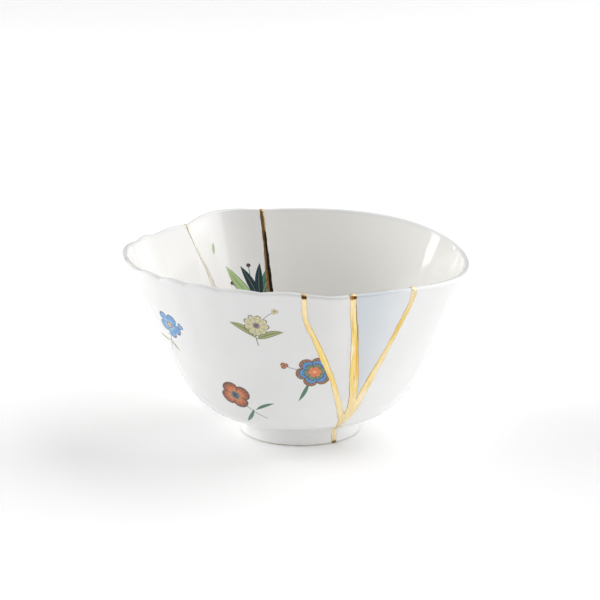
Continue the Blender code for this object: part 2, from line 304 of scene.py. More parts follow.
# Each break is a path on the bowl: azimuth in degrees, distance along the wall, width of the gold
OVER_RIM = 0.155
PATH_STEPS = 60
UNDER_GOLD = 0.0003
LONG_BREAK = (
    (-89.0, OVER_RIM, 0.0026),
    (-88.8, 0.140, 0.0025),
    (-88.2, 0.129, 0.0027),
    (-84.7, 0.1165, 0.0028),
    (-81.0, 0.1035, 0.0034),
    (-76.9, 0.090, 0.0027),
    (-73.1, 0.0755, 0.0031),
    (-68.8, 0.061, 0.0038),
    (-65.5, 0.048, 0.0032),
    (-56.3, 0.0325, 0.0030),
    (30.0, 0.005, 0.0030),
    (100.5, 0.036, 0.0034),
    (103.0, 0.070, 0.0036),
    (103.9, 0.104, 0.0034),
    (104.2, 0.125, 0.0023),
    (104.7, OVER_RIM, 0.0023),
)
MIDDLE_BREAK = (
    (-73.6, OVER_RIM, 0.0035),
    (-72.1, 0.134, 0.0038),
    (-70.4, 0.121, 0.0040),
    (-69.3, 0.108, 0.0045),
    (-67.6, 0.092, 0.0052),
    (-65.8, 0.074, 0.0046),
    (-66.5, 0.060, 0.0036),
)
RIGHT_BREAK = (
    (-50.8, OVER_RIM, 0.0036),
    (-49.8, 0.137, 0.0037),
    (-51.5, 0.1245, 0.0036),
    (-54.2, 0.110, 0.0032),
    (-58.0, 0.0935, 0.0043),
    (-61.1, 0.0805, 0.0045),
    (-63.7, 0.066, 0.0042),
    (-66.5, 0.056, 0.0034),
)
BACK_LEFT_BREAK = (
    (141.2, OVER_RIM, 0.0016),
    (138.6, 0.133, 0.0013),
    (133.8, 0.117, 0.0020),
    (131.0, 0.105, 0.0027),
    (121.0, 0.078, 0.0028),
    (103.0, 0.050, 0.0026),
)


def break_path(path):
    """A Catmull-Rom curve through a break's points, laid flat round the bottom's centre: x, y and width."""
    azimuth, distance, width = np.array(path).T
    azimuth = np.radians(azimuth)
    knots = np.stack([distance * np.cos(azimuth), distance * np.sin(azimuth), width], 1)
    knots = np.concatenate([[2 * knots[0] - knots[1]], knots, [2 * knots[-1] - knots[-2]]])
    before, start, end, after = knots[:-3], knots[1:-2], knots[2:-1], knots[3:]
    t = np.linspace(0, 1, PATH_STEPS, endpoint=False)[:, None, None]
    curve = 2 * start + (end - before) * t + (2 * before - 5 * start + 4 * end - after) * t ** 2
    curve = (curve + (3 * start - before - 3 * end + after) * t ** 3) / 2
    return np.concatenate([curve.transpose(1, 0, 2).reshape(-1, 3), knots[-2:-1]])


def sideways(flat):
    """Unit steps across a flat path, measured on the bowl, whose circles are shorter than laid flat."""
    distance = np.maximum(np.linalg.norm(flat[:, :2], axis=1), 1e-9)
    out = flat[:, :2] / distance[:, None]
    around = np.stack([-out[:, 1], out[:, 0]], 1)
    on_wall = np.interp(distance, WALL_DISTANCE, WALL_MIDDLE_RADIUS)
    radius = np.where(distance < FLOOR_RADIUS, distance, on_wall)
    shrink = radius / distance
    step = np.gradient(flat[:, :2], axis=0)
    along_out = (step * out).sum(1)
    along_around = (step * around).sum(1) * shrink
    size = np.hypot(along_out, along_around)
    return (-along_around / size)[:, None] * out + (along_out / size / shrink)[:, None] * around


def outwards(path):
    """A break's flat path, turned to run from the floor to the rim."""
    flat = break_path(path)
    return flat if np.linalg.norm(flat[0, :2]) < np.linalg.norm(flat[-1, :2]) else flat[::-1]


def break_edges(path):
    """The two edges of a break under its gold, as flat paths that run outwards: the clockwise side first."""
    flat = outwards(path)
    step = sideways(flat) * (flat[:, 2] / 2 - UNDER_GOLD)[:, None]
    return flat[:, :2] - step, flat[:, :2] + step


def halves(flat, nearest):
    """A path across the floor, parted at its point nearest the centre, each half running outwards."""
    return flat[:nearest + 1][::-1], flat[nearest:]


def edge_angle(edge, pole, distance, facing):
    """The direction from each row's pole to where an edge leaves it, within a half turn of facing."""
    reach = np.linalg.norm(edge[None] - pole[:, None], axis=2)
    after = np.clip((reach < distance[:, None]).sum(1), 1, len(edge) - 1)
    rows = np.arange(len(distance))
    low, high = reach[rows, after - 1], reach[rows, after]
    share = np.clip((distance - low) / (high - low), 0, 1)[:, None]
    point = edge[after - 1] * (1 - share) + edge[after] * share - pole
    angle = np.arctan2(point[:, 1], point[:, 0])
    angle = facing + np.mod(angle - facing + math.pi, 2 * math.pi) - math.pi
    return angle, distance >= reach.min(axis=1) - 1e-6


def break_face(column, distance):
    """Triangles over a broken face: its inside and outside edges, joined in the order of their distance."""
    lip = distance.argmax() + LIP_STEPS // 2
    inside, outside = column[:lip + 1], column[:lip:-1]
    order = np.argsort(np.concatenate([distance[1:lip + 1], distance[:lip:-1][1:]]), kind="stable")
    steps_inside = order < lip
    at_inside = np.cumsum(steps_inside)
    at_outside = np.cumsum(~steps_inside)
    before = np.stack([inside[at_inside - steps_inside], outside[at_outside - ~steps_inside]], 1)
    reached = np.where(steps_inside, inside[at_inside], outside[at_outside])
    return np.concatenate([before, reached[:, None]], 1)


BOX_LOW = np.array(cad_box[0])
BOX_HIGH = np.array(cad_box[1])
MERGED_WITHIN = 0.000002
SHARP_FROM = math.radians(40)


def closed_piece(name, points, places, faces, merged):
    """A smooth object with its faces turned outwards, which carries each point's place on the bowl."""
    mesh = bpy.data.meshes.new(name)
    mesh.from_pydata(points, [], faces)
    layer = mesh.attributes.new("place", "FLOAT_VECTOR", "POINT")
    layer.data.foreach_set("vector", places.ravel().astype(np.float32))
    shell = bmesh.new()
    shell.from_mesh(mesh)
    if merged:
        bmesh.ops.remove_doubles(shell, verts=shell.verts, dist=MERGED_WITHIN)
    bmesh.ops.recalc_face_normals(shell, faces=shell.faces)
    shell.to_mesh(mesh)
    shell.free()
    mesh.shade_smooth()
    piece = bpy.data.objects.new(name, mesh)
    bpy.context.scene.collection.objects.link(piece)
    return piece


def shard_surface(name, starts, ends, facing, pole_point, tip, columns):
    """A shard as a closed mesh: rows of the bowl's section, each run from its first break to its last.

    A row's points are pole + distance * (cos angle, sin angle), the angle going evenly from edge to edge,
    and the pole fades from pole_point at the bottom's centre to the bowl's own axis at the floor's rim.
    """
    radius, height, distance = section(tip)
    pole = np.array(pole_point) * (1 - smooth_step(0, FLOOR_RADIUS, distance))[:, None]
    facing = math.radians(facing)
    first = np.full(len(distance), -np.inf)
    last = np.full(len(distance), np.inf)
    for edge in starts:
        angle, there = edge_angle(edge, pole, distance, facing)
        first = np.where(there, np.maximum(first, angle), first)
    for edge in ends:
        angle, there = edge_angle(edge, pole, distance, facing)
        last = np.where(there, np.minimum(last, angle), last)
    last = np.maximum(last, first)
    across = np.linspace(0, 1, columns + 1)
    angle = first[:, None] * (1 - across) + last[:, None] * across
    flat_x = pole[:, :1] + distance[:, None] * np.cos(angle)
    flat_y = pole[:, 1:] + distance[:, None] * np.sin(angle)
    shrink = np.where(distance > 1e-6, radius / np.maximum(distance, 1e-6), 1)[:, None]
    azimuth = np.arctan2(flat_y, flat_x)
    azimuth = facing + np.mod(azimuth - facing + math.pi, 2 * math.pi) - math.pi
    grid = shaped(np.hypot(flat_x, flat_y) * shrink, height[:, None] + 0 * flat_x, azimuth)
    outside = np.zeros(len(distance))
    outside[distance.argmax():] = 1
    rows, cols = azimuth.shape
    index = np.arange(rows * cols).reshape(rows, cols)
    after = np.roll(index, -1, axis=0)
    quads = np.stack([index[:, :-1], after[:, :-1], after[:, 1:], index[:, 1:]], -1)
    quads = quads[:rows if tip > 0 else rows - 1].reshape(-1, 4)
    faces = quads.tolist() + break_face(index[:, 0], distance).tolist()
    faces = faces + break_face(index[:, -1], distance).tolist()
    places = np.stack([azimuth, distance[:, None] + 0 * azimuth, outside[:, None] + 0 * azimuth], -1)
    piece = closed_piece(name, np.clip(grid.reshape(-1, 3), BOX_LOW, BOX_HIGH), places, faces, merged=True)
    piece.data.set_sharp_from_angle(angle=SHARP_FROM)
    return piece


def number(tree, operation, *values):
    """One Math node's output; each value is a plain number or another node's output."""
    step = tree.nodes.new("ShaderNodeMath")
    step.operation = operation
    for socket, value in zip(step.inputs, values):
        if isinstance(value, (int, float)):
            socket.default_value = value
        else:
            tree.links.new(value, socket)
    return step.outputs[0]


def fade(tree, value, low, high, start=0.0, end=1.0):
    """Goes smoothly from start at low to end at high, and stays at them beyond."""
    step = tree.nodes.new("ShaderNodeMapRange")
    step.interpolation_type = "SMOOTHSTEP"
    tree.links.new(value, step.inputs["Value"])
    for socket, bound in zip(("From Min", "From Max", "To Min", "To Max"), (low, high, start, end)):
        step.inputs[socket].default_value = bound
    return step.outputs["Result"]


def paint_over(tree, below, colour, mask):
    """Lays a colour, plain or from a node, over the colour below it where the mask is 1."""
    mix = tree.nodes.new("ShaderNodeMix")
    mix.data_type = "RGBA"
    tree.links.new(mask, mix.inputs["Factor"])
    for socket, value in ((mix.inputs["A"], below), (mix.inputs["B"], colour)):
        if isinstance(value, tuple):
            socket.default_value = (*value, 1)
        else:
            tree.links.new(value, socket)
    return mix.outputs["Result"]


def colour_stops(tree, value, stops):
    """A colour ramp through (position, colour) stops."""
    ramp = tree.nodes.new("ShaderNodeValToRGB")
    while len(ramp.color_ramp.elements) < len(stops):
        ramp.color_ramp.elements.new(0.5)
    for element, (position, colour) in zip(ramp.color_ramp.elements, stops):
        element.position = position
        element.color = (*colour, 1)
    tree.links.new(value, ramp.inputs["Fac"])
    return ramp.outputs["Color"]


def noise(tree, vector, scale, detail=2.0):
    """A soft noise value between 0 and 1."""
    texture = tree.nodes.new("ShaderNodeTexNoise")
    texture.inputs["Scale"].default_value = scale
    texture.inputs["Detail"].default_value = detail
    tree.links.new(vector, texture.inputs["Vector"])
    return texture.outputs["Fac"]


def spot(tree, place, azimuth, distance, turn, inside=False):
    """Millimetres right and up from a place on the wall, seen from its own side and turned by an angle."""
    radius = float(np.interp(distance, WALL_DISTANCE, WALL_MIDDLE_RADIUS))
    across = 1000 * radius * (-1 if inside else 1)
    x = number(tree, "MULTIPLY_ADD", place["azimuth"], across, -across * math.radians(azimuth))
    y = number(tree, "MULTIPLY_ADD", place["distance"], 1000.0, -1000.0 * distance)
    flat = tree.nodes.new("ShaderNodeCombineXYZ")
    tree.links.new(x, flat.inputs["X"])
    tree.links.new(y, flat.inputs["Y"])
    return turned(tree, flat.outputs["Vector"], 0, 0, turn)


def turned(tree, vector, x, y, turn):
    """The same plane seen from another point of it, turned by an angle."""
    mapping = tree.nodes.new("ShaderNodeMapping")
    mapping.vector_type = "TEXTURE"
    mapping.inputs["Location"].default_value = (x, y, 0)
    mapping.inputs["Rotation"].default_value = (0, 0, math.radians(turn))
    tree.links.new(vector, mapping.inputs["Vector"])
    return mapping.outputs["Vector"]


def parts_of(tree, vector):
    """A place's x and y on its plane."""
    split = tree.nodes.new("ShaderNodeSeparateXYZ")
    tree.links.new(vector, split.inputs["Vector"])
    return split.outputs["X"], split.outputs["Y"]


INK = (0.035, 0.03, 0.03)
FADED = (0.86, 0.84, 0.78)


def blossom(tree, below, vector, size, petals, colours, depth=0.45):
    """A round blossom: its edge is size * (1 - depth + depth * sqrt|cos(petals * angle / 2)|).

    The colours run from the centre to the edge, mottled like a water colour. Fine dark veins run out along
    the petals, and a line parts each petal from the next.
    """
    x, y = parts_of(tree, vector)
    angle = number(tree, "ARCTAN2", y, x)
    squares = number(tree, "ADD", number(tree, "MULTIPLY", x, x), number(tree, "MULTIPLY", y, y))
    reach = number(tree, "SQRT", squares)
    wave = number(tree, "ABSOLUTE", number(tree, "COSINE", number(tree, "MULTIPLY", angle, petals / 2)))
    edge = number(tree, "MULTIPLY_ADD", number(tree, "SQRT", wave), size * depth, size * (1 - depth))
    mottle = noise(tree, vector, 1.1, 3.0)
    share = number(tree, "DIVIDE", reach, edge)
    uneven = number(tree, "ADD", share, number(tree, "MULTIPLY_ADD", mottle, 0.16, -0.08))
    colour = colour_stops(tree, uneven, colours)
    colour = paint_over(tree, colour, FADED, fade(tree, mottle, 0.5, 0.75, 0, 0.35))
    veins = number(tree, "COSINE", number(tree, "MULTIPLY", angle, petals * 5.0))
    veined = number(tree, "MULTIPLY", fade(tree, veins, 0.55, 1.0, 0, 0.5), fade(tree, share, 0.25, 0.45))
    colour = paint_over(tree, colour, colours[-1][1], veined)
    parted = number(tree, "MULTIPLY", fade(tree, wave, 0.02, 0.16, 0.8, 0), fade(tree, share, 0.25, 0.4))
    colour = paint_over(tree, colour, INK, parted)
    return paint_over(tree, below, colour, fade(tree, share, 0.97, 1.03, 1, 0))


def bent_line(tree, vector, start, turn, length, bend):
    """A line along its own x, bent by bend * 4p(1 - p), p being the share of its length.

    Gives x, 4p(1 - p) and the distance from the line.
    """
    x, y = parts_of(tree, turned(tree, vector, *start, turn))
    share = number(tree, "DIVIDE", x, length)
    rest = number(tree, "SUBTRACT", 1.0, share)
    swell = number(tree, "MULTIPLY", number(tree, "MULTIPLY", share, rest), 4.0)
    off = number(tree, "ABSOLUTE", number(tree, "SUBTRACT", y, number(tree, "MULTIPLY", swell, bend)))
    return x, swell, off


def leaf(tree, below, vector, start, turn, length, width, bend, colours):
    """A pointed leaf on a bent midrib: half its width is width * 4p(1 - p), p being the share of its length.

    The colours run from the midrib to the outline, and paler side veins slant away from the midrib.
    """
    x, swell, off = bent_line(tree, vector, start, turn, length, bend)
    half = number(tree, "MAXIMUM", number(tree, "MULTIPLY", swell, width), 0.01)
    colour = colour_stops(tree, number(tree, "DIVIDE", off, half), colours)
    slant = number(tree, "SUBTRACT", x, number(tree, "MULTIPLY", off, 1.3))
    slant = number(tree, "MULTIPLY", slant, 4.2)
    veined = fade(tree, number(tree, "SINE", slant), 0.5, 1.0, 0, 0.35)
    colour = paint_over(tree, colour, colours[0][1], veined)
    inside = fade(tree, number(tree, "SUBTRACT", half, off), -0.06, 0.08)
    return paint_over(tree, below, colour, number(tree, "MULTIPLY", inside, fade(tree, swell, 0.0, 0.03)))


def stem(tree, below, vector, start, turn, length, bend, colour, half_width=0.22):
    """A bent stroke of even width."""
    _, swell, off = bent_line(tree, vector, start, turn, length, bend)
    line = fade(tree, off, half_width * 0.6, half_width * 1.4, 1, 0)
    return paint_over(tree, below, colour, number(tree, "MULTIPLY", line, fade(tree, swell, 0.0, 0.02)))


OLIVE_STEM = (0.14, 0.16, 0.06)
BROWN_STEM = (0.14, 0.13, 0.05)
GREEN_STEM = (0.10, 0.13, 0.06)
OLIVE_LEAF = (
    (0.0, (0.12, 0.14, 0.05)),
    (0.15, (0.33, 0.36, 0.13)),
    (0.7, (0.47, 0.48, 0.22)),
    (0.9, (0.09, 0.09, 0.04)),
)
GREEN_LEAF = (
    (0.0, (0.03, 0.08, 0.05)),
    (0.15, (0.08, 0.22, 0.13)),
    (0.7, (0.14, 0.32, 0.20)),
    (0.9, (0.02, 0.05, 0.04)),
)
BLUE_PETALS = (
    (0.0, (0.75, 0.28, 0.08)),
    (0.13, (0.80, 0.62, 0.25)),
    (0.22, (0.05, 0.08, 0.22)),
    (0.32, (0.35, 0.58, 0.80)),
    (0.62, (0.10, 0.32, 0.66)),
    (0.82, (0.16, 0.44, 0.76)),
    (0.93, (0.10, 0.12, 0.24)),
)
CREAM_PETALS = (
    (0.0, (0.10, 0.06, 0.16)),
    (0.16, (0.20, 0.12, 0.26)),
    (0.25, (0.30, 0.24, 0.10)),
    (0.36, (0.76, 0.72, 0.48)),
    (0.70, (0.66, 0.61, 0.32)),
    (0.86, (0.80, 0.77, 0.56)),
    (0.95, (0.16, 0.14, 0.06)),
)
RUST_PETALS = (
    (0.0, (0.02, 0.03, 0.09)),
    (0.17, (0.05, 0.06, 0.14)),
    (0.28, (0.20, 0.22, 0.14)),
    (0.42, (0.74, 0.26, 0.10)),
    (0.62, (0.62, 0.15, 0.05)),
    (0.80, (0.36, 0.10, 0.04)),
    (0.95, (0.10, 0.05, 0.03)),
)
MIXED_PETALS = (
    (0.0, (0.85, 0.62, 0.30)),
    (0.14, (0.78, 0.20, 0.07)),
    (0.32, (0.76, 0.22, 0.08)),
    (0.40, (0.10, 0.20, 0.10)),
    (0.50, (0.20, 0.34, 0.20)),
    (0.56, (0.03, 0.05, 0.12)),
    (0.61, (0.05, 0.26, 0.64)),
    (0.74, (0.08, 0.34, 0.72)),
    (0.80, (0.05, 0.05, 0.08)),
    (0.85, (0.48, 0.17, 0.07)),
    (0.96, (0.18, 0.09, 0.05)),
)


def blue_sprig(tree, below, place, azimuth, distance, turn, size):
    """A blue five-petalled blossom on a short stem, with a bud and two olive leaves."""
    here = spot(tree, place, azimuth, distance, turn)
    below = stem(tree, below, here, (0, 0), -100, size * 2.6, 1.2, OLIVE_STEM)
    below = leaf(tree, below, here, (-size * 0.5, -size * 1.5), -20, size * 1.3, 0.9, 0.5, OLIVE_LEAF)
    below = leaf(tree, below, here, (-size * 0.4, -size * 1.7), 195, size * 1.4, 0.9, -0.5, OLIVE_LEAF)
    below = stem(tree, below, here, (-size * 0.35, -size * 1.1), 52, size * 1.9, -0.8, OLIVE_STEM, 0.15)
    bud = turned(tree, here, size * 0.95, size * 0.5, 0)
    below = blossom(tree, below, bud, size * 0.28, 3, BLUE_PETALS)
    return blossom(tree, below, here, size, 5, BLUE_PETALS)


def cream_sprig(tree, below, place, azimuth, distance, turn, size):
    """A cream daisy with nine narrow petals, a bud on a thin stalk and a pair of long olive leaves."""
    here = spot(tree, place, azimuth, distance, turn)
    below = stem(tree, below, here, (0, 0), -85, size * 1.9, -0.9, BROWN_STEM)
    below = leaf(tree, below, here, (0, -size * 1.3), 24, size * 2.3, 1.9, 1.2, OLIVE_LEAF)
    below = leaf(tree, below, here, (0, -size * 1.2), 152, size * 2.4, 1.9, -1.2, OLIVE_LEAF)
    below = stem(tree, below, here, (0, 0), 48, size * 2.0, 0.8, INK, 0.13)
    bud = turned(tree, here, size * 1.34, size * 1.49, 0)
    below = blossom(tree, below, bud, size * 0.27, 3, CREAM_PETALS)
    return blossom(tree, below, here, size, 9, CREAM_PETALS, 0.35)


def rust_sprig(tree, below, place, azimuth, distance, turn, size):
    """A rust-red poppy with four broad petals, seen a little from the side, with two green leaves."""
    here = spot(tree, place, azimuth, distance, turn)
    below = stem(tree, below, here, (0, 0), -68, size * 2.5, -1.5, GREEN_STEM)
    below = leaf(tree, below, here, (size * 0.55, -size * 1.3), -150, size * 1.7, 1.1, 0.7, GREEN_LEAF)
    below = leaf(tree, below, here, (size * 0.6, -size * 1.4), 5, size * 1.5, 1.0, 0.6, GREEN_LEAF)
    return blossom(tree, below, here, size, 4, RUST_PETALS, 0.3)


def mixed_sprig(tree, below, place, azimuth, distance, turn, size):
    """A six-petalled blossom in rings of four colours, with a bud on a thin stalk and one leaf."""
    here = spot(tree, place, azimuth, distance, turn)
    below = stem(tree, below, here, (0, 0), 155, size * 1.6, 0.8, INK, 0.14)
    bud = turned(tree, here, -size * 1.45, size * 0.68, 0)
    below = blossom(tree, below, bud, size * 0.22, 3, RUST_PETALS)
    below = leaf(tree, below, here, (-size * 0.4, -size * 0.6), -125, size * 1.5, 1.1, 0.6, GREEN_LEAF)
    return blossom(tree, below, here, size, 6, MIXED_PETALS, 0.28)


def left_decor(tree, below, place):
    """Small scattered flowers on the outside of the left shard."""
    painted = mixed_sprig(tree, below, place, 275.6, 0.0960, 12, 9.8)
    painted = cream_sprig(tree, painted, place, 254.5, 0.1245, -5, 6.8)
    painted = rust_sprig(tree, painted, place, 239.5, 0.0765, 24, 8.8)
    painted = blue_sprig(tree, painted, place, 213.5, 0.114, -22, 8.4)
    painted = cream_sprig(tree, painted, place, 182.0, 0.101, 14, 6.4)
    painted = rust_sprig(tree, painted, place, 160.0, 0.084, -10, 6.6)
    return paint_over(tree, below, painted, place["outside"])


PALE_LEAF = (
    (0.0, (0.24, 0.36, 0.16)),
    (0.14, (0.42, 0.56, 0.26)),
    (0.8, (0.48, 0.62, 0.31)),
    (0.93, (0.12, 0.18, 0.08)),
)
TEAL_LEAF = (
    (0.0, (0.46, 0.58, 0.46)),
    (0.1, (0.03, 0.08, 0.07)),
    (0.35, (0.05, 0.19, 0.13)),
    (0.85, (0.08, 0.27, 0.18)),
    (0.95, (0.01, 0.02, 0.02)),
)
BLACK_LEAF = (
    (0.0, (0.14, 0.20, 0.21)),
    (0.2, (0.012, 0.02, 0.025)),
    (0.8, (0.03, 0.06, 0.06)),
    (0.95, (0.008, 0.01, 0.012)),
)
BERRY = (
    (0.0, (0.42, 0.30, 0.34)),
    (0.3, (0.12, 0.04, 0.07)),
    (0.9, (0.02, 0.01, 0.02)),
)
SPRAY_STEM = (0.05, 0.09, 0.05)


def back_left_decor(tree, below, place):
    """A spray of slender leaves and dark berries inside, cut off by the back break, and a sprig outside."""
    here = spot(tree, place, 108.6, 0.089, 0, inside=True)
    spray = below
    for turn, reach in ((100, 24), (135, 21)):
        spray = stem(tree, spray, here, (0, 0), turn, reach, 1.2, SPRAY_STEM, 0.16)
        tip_x = reach * math.cos(math.radians(turn))
        tip_y = reach * math.sin(math.radians(turn))
        spray = blossom(tree, spray, turned(tree, here, tip_x, tip_y, 0), 1.1, 2, BERRY, 0.05)
    for turn, length, width, bend, colours in (
        (158, 19, 2.2, 0.9, TEAL_LEAF),
        (124, 30, 2.8, 1.4, PALE_LEAF),
        (110, 25, 2.3, -0.9, BLACK_LEAF),
        (66, 33, 3.0, 1.8, TEAL_LEAF),
        (86, 25, 2.2, 0.8, BLACK_LEAF),
        (44, 27, 2.6, -1.2, TEAL_LEAF),
    ):
        spray = leaf(tree, spray, here, (0, 0), turn, length, width, bend, colours)
    bud = spot(tree, place, 127.0, 0.1235, 0, inside=True)
    spray = leaf(tree, spray, bud, (0, -2), 80, 7, 1.0, 0.3, PALE_LEAF)
    spray = paint_over(tree, spray, below, place["outside"])
    outside = blue_sprig(tree, below, place, 122.0, 0.104, 10, 5.2)
    return paint_over(tree, spray, outside, place["outside"])


def place_parts(tree):
    """The three values that each point of a piece carries as its place."""
    attribute = tree.nodes.new("ShaderNodeAttribute")
    attribute.attribute_name = "place"
    split = tree.nodes.new("ShaderNodeSeparateXYZ")
    tree.links.new(attribute.outputs["Vector"], split.inputs["Vector"])
    return split.outputs["X"], split.outputs["Y"], split.outputs["Z"]


PAINTED_LIGHT_FOOT_WHITE = (0.94, 0.94, 0.93)
BARE_DARK = (0.55, 0.50, 0.42)
BARE_LIGHT = (0.74, 0.71, 0.64)


def glaze(name, colour, inside_colour, decor=None, tint=None):
    """Clear glaze over porcelain: faintly mottled and uneven, painted whiter low on the outside as painted
    light on the foot, and bare where the ring stands.
    """
    finish = bpy.data.materials.new(name)
    finish.use_nodes = True
    tree = finish.node_tree
    shader = tree.nodes["Principled BSDF"]
    shader.inputs["Specular IOR Level"].default_value = 0.55
    shader.inputs["IOR"].default_value = 1.52
    where = tree.nodes.new("ShaderNodeTexCoord").outputs["Object"]
    place = dict(zip(("azimuth", "distance", "outside"), place_parts(tree)))
    mottle = noise(tree, where, 55.0, 3.0)
    body = colour_stops(tree, mottle, ((0.3, tuple(0.975 * c for c in colour)), (0.7, colour)))
    body = paint_over(tree, inside_colour, body, place["outside"])
    height = tree.nodes.new("ShaderNodeSeparateXYZ")
    tree.links.new(where, height.inputs["Vector"])
    # Painted light: the outside below about a centimetre is painted whiter, standing in for light that the
    # overhanging wall keeps off the foot
    low = fade(tree, height.outputs["Z"], 0.008, 0.013, 1, 0)
    body = paint_over(tree, body, PAINTED_LIGHT_FOOT_WHITE, number(tree, "MULTIPLY", low, place["outside"]))
    if tint is not None:
        strong = fade(tree, place["azimuth"], math.radians(-70), math.radians(-49), 1, 0)
        body = paint_over(tree, body, tint, number(tree, "MULTIPLY", strong, place["outside"]))
    if decor is not None:
        body = decor(tree, body, place)
    bare = fade(tree, height.outputs["Z"], 0.0004, 0.0011, 1, 0)
    grit = noise(tree, where, 900.0, 4.0)
    grit = colour_stops(tree, grit, ((0.35, BARE_DARK), (0.65, BARE_LIGHT)))
    tree.links.new(paint_over(tree, body, grit, bare), shader.inputs["Base Color"])
    gloss = fade(tree, noise(tree, where, 120.0, 2.0), 0.3, 0.7, 0.035, 0.075)
    roughness = number(tree, "MAXIMUM", gloss, number(tree, "MULTIPLY", bare, 0.7))
    tree.links.new(roughness, shader.inputs["Roughness"])
    ripple = tree.nodes.new("ShaderNodeBump")
    ripple.inputs["Strength"].default_value = 0.10
    ripple.inputs["Distance"].default_value = 0.0006
    tree.links.new(noise(tree, where, 95.0, 1.0), ripple.inputs["Height"])
    tree.links.new(ripple.outputs["Normal"], shader.inputs["Normal"])
    return finish


long_flat = break_path(LONG_BREAK)
nearest = np.linalg.norm(long_flat[:, :2], axis=1).argmin()
to_left = sideways(long_flat) * (long_flat[:, 2] / 2 - UNDER_GOLD)[:, None]
front_half, back_half = halves(long_flat, nearest)
front_low, back_high = halves(long_flat[:, :2] + to_left, nearest)
front_high, back_low = halves(long_flat[:, :2] - to_left, nearest)
middle_low, middle_high = break_edges(MIDDLE_BREAK)
right_low, right_high = break_edges(RIGHT_BREAK)
back_left_low, back_left_high = break_edges(BACK_LEFT_BREAK)

WHITE = (0.86, 0.86, 0.855)
WARM_WHITE = (0.905, 0.893, 0.860)
INNER_WHITE = (0.905, 0.900, 0.888)
GREY_WHITE = (0.835, 0.83, 0.815)
BLUE_WHITE = (0.80, 0.81, 0.825)
BLUE_TINT = (0.655, 0.70, 0.735)
plain = glaze("white_glaze", WHITE, WARM_WHITE)
flowered = glaze("flowered_white_glaze", WHITE, INNER_WHITE, left_decor)
leafy = glaze("leafy_white_glaze", WHITE, INNER_WHITE, back_left_decor)
greyish = glaze("grey_white_glaze", GREY_WHITE, WARM_WHITE)
bluish = glaze("blue_white_glaze", BLUE_WHITE, WARM_WHITE, tint=BLUE_TINT)


TIPS_FROM = 0.03
TIP_STEPS = 400
TIP_ANGLE = 0.001


def tip_between(low_edge, high_edge, facing):
    """The distance at which two breaks meet, below which no shard is left between them."""
    distance = np.linspace(TIPS_FROM, RIM_DISTANCE, TIP_STEPS)
    pole = np.zeros((TIP_STEPS, 2))
    first, first_there = edge_angle(low_edge, pole, distance, math.radians(facing))
    last, last_there = edge_angle(high_edge, pole, distance, math.radians(facing))
    apart = (last - first > TIP_ANGLE) & first_there & last_there
    return distance[len(apart) - apart[::-1].argmin()]


def finish_shard(piece, finish, node):
    """Glazes a shard and sets it in the place of its node."""
    piece.data.materials.clear()
    piece.data.materials.append(finish)
    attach(piece, "root")
    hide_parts(node)


# A shard's surface is given by its breaks, the azimuth that it faces, its pole, its tip and its columns
left_breaks = [back_left_high, back_high]
left = shard_surface("left_shard", left_breaks, [front_low], 205, front_low[0], 0, 230)
finish_shard(left, flowered, "shard_left")
right_breaks = [right_high, front_high]
right = shard_surface("right_shard", right_breaks, [back_low], 15, front_high[0], 0, 160)
finish_shard(right, plain, "shard_right")
tip = tip_between(back_high, back_left_low, 115)
back = shard_surface("back_left_shard", [back_high], [back_left_low], 115, (0, 0), tip, 70)
finish_shard(back, leafy, "shard_back_left")
tip = tip_between(front_high, middle_low, -70)
splinter = shard_surface("left_splinter", [front_high], [middle_low], -75, (0, 0), tip, 28)
finish_shard(splinter, greyish, "wedge_front_left")
tip = tip_between(middle_high, right_low, -70)
blue_splinter = shard_surface("right_splinter", [middle_high], [right_low], -65, (0, 0), tip, 34)
finish_shard(blue_splinter, bluish, "wedge_front_right")

# The gold
# Lacquer dusted with gold, drawn with a fine brush over every break, inside and out and over the rim: a low
# rounded ridge a little wider than the break, with worn brown edges where the lacquer shows.
FRONT_LEFT, MIDDLE, RIGHT, BACK, BACK_LEFT = range(5)
GOLD_OVERLAP = 0.0001
GOLD_RIDGE = 0.00035
GOLD_SUNK = 0.00005
GOLD_DEPTH = 0.0012
GOLD_SPACING = 0.001
OFF_TABLE = 0.0002
FLOOR_PAST_CREST = 0.13
EDGE_WANDER = 0.00010
EDGE_WAVES = np.array([620.0, 1510.0, 2900.0])
WAVE_SHARES = [1.0, 0.6, 0.35]
across = np.linspace(-1, 1, 11)
RING_ACROSS = np.concatenate([across, [0.8, -0.8]])
RING_LIFT = np.concatenate([GOLD_RIDGE * (1 - across ** 2) ** 0.6 - GOLD_SUNK, [-GOLD_DEPTH, -GOLD_DEPTH]])


def brushed_across(along, width, seam):
    """Places across the gold from its centre: half its width each way, with edges that wander as sines."""
    turn = along[:, None] * EDGE_WAVES + 1.7 * seam
    near = EDGE_WANDER * (np.sin(turn) * WAVE_SHARES).sum(1)
    far = EDGE_WANDER * (np.sin(turn + 2.4) * WAVE_SHARES).sum(1)
    half = width / 2 + GOLD_OVERLAP
    side = (RING_ACROSS + 1) / 2
    return (near - half)[:, None] * (1 - side) + (far + half)[:, None] * side


